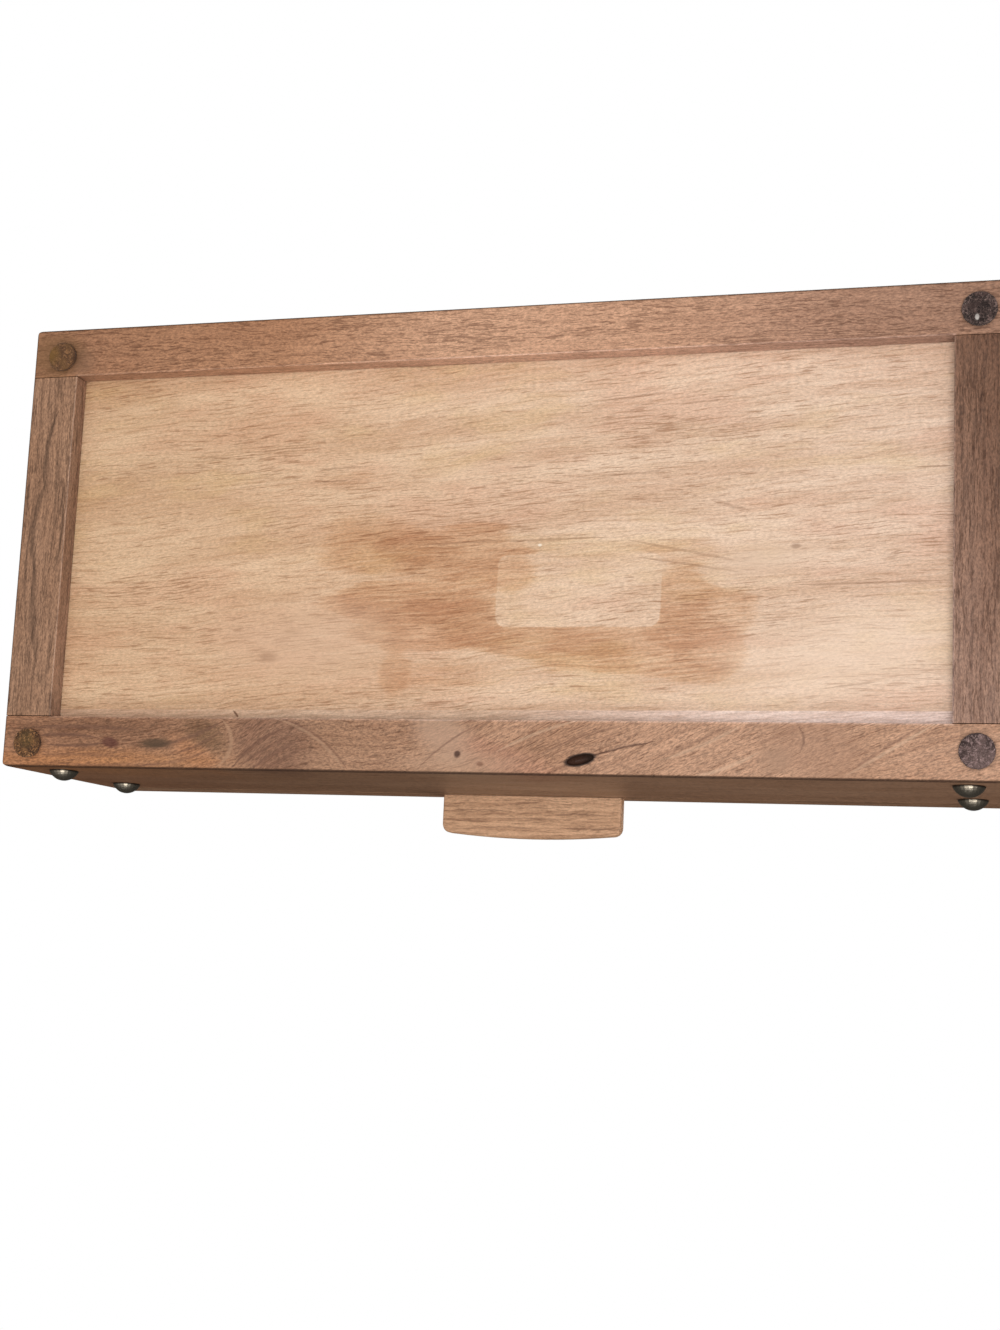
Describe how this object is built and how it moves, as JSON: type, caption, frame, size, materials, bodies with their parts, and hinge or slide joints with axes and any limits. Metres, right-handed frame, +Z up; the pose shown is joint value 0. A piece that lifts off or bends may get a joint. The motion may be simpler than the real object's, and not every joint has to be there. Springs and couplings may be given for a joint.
{
  "type": "wooden keepsake box",
  "caption": "Low rectangular wooden box with a hinged slab lid, a flat lifting tab at the front, dome-headed tacks, a recessed thin bottom panel and felt pads under the corners.",
  "frame": {"origin": "under the middle of the whole object, on the surface that the felt pads stand on", "axes": "+X to the box's right along its length, +Y towards its back, where the hinges are, +Z up; the tab is on the -Y side"},
  "size_m": [0.366, 0.1918, 0.1039],
  "materials": {
    "front_walnut": "reddish brown walnut, low-sheen clear finish",
    "back_walnut": "mid brown walnut, low-sheen clear finish",
    "left_walnut": "purple-brown streaked walnut, low-sheen clear finish",
    "right_walnut": "grey-brown straight-grained walnut, low-sheen clear finish",
    "lid_walnut": "brown walnut, low-sheen clear finish",
    "tab_wood": "tan walnut strip, low-sheen clear finish",
    "blond_plywood": "thin pale veneered sheet, dry and unvarnished, with stain marks",
    "charcoal_felt": "pressed felt, fuzzy",
    "olive_felt": "pressed felt, worn flat",
    "antique_nickel": "antique nickel plated dome, tarnished",
    "hinge_brass": "satin brass",
    "screw_brass": "satin brass",
    "hinge_pin": "drawn brass wire, bright"
  },
  "bodies": {
    "box_body": {"front_board": "front_walnut", "back_board": "back_walnut", "left_board": "left_walnut", "right_board": "right_walnut", "bottom_panel": "blond_plywood", "pad_front_left": "charcoal_felt", "pad_front_right": "olive_felt", "pad_back_left": "charcoal_felt", "pad_back_right": "olive_felt", "tack_left_lower": "antique_nickel", "tack_left_upper": "antique_nickel", "tack_right_lower": "antique_nickel", "tack_right_upper": "antique_nickel", "hinge_left_body_leaf": "hinge_brass", "hinge_left_pin": "hinge_pin", "hinge_left_body_screw_a": "screw_brass", "hinge_left_body_screw_b": "screw_brass", "hinge_right_body_leaf": "hinge_brass", "hinge_right_pin": "hinge_pin", "hinge_right_body_screw_a": "screw_brass", "hinge_right_body_screw_b": "screw_brass"},
    "lid": {"lid": "lid_walnut", "lid_tab": "tab_wood", "hinge_left_lid_leaf": "hinge_brass", "hinge_left_lid_screw_a": "screw_brass", "hinge_left_lid_screw_b": "screw_brass", "hinge_right_lid_leaf": "hinge_brass", "hinge_right_lid_screw_a": "screw_brass", "hinge_right_lid_screw_b": "screw_brass"}
  },
  "joints": [
    {"name": "lid_hinge", "type": "hinge", "parent": "box_body", "child": "lid", "pos_m": [0, 0.0934, 0.08475], "axis": [-1, 0, 0], "range_deg": [0, 197]}
  ]
}
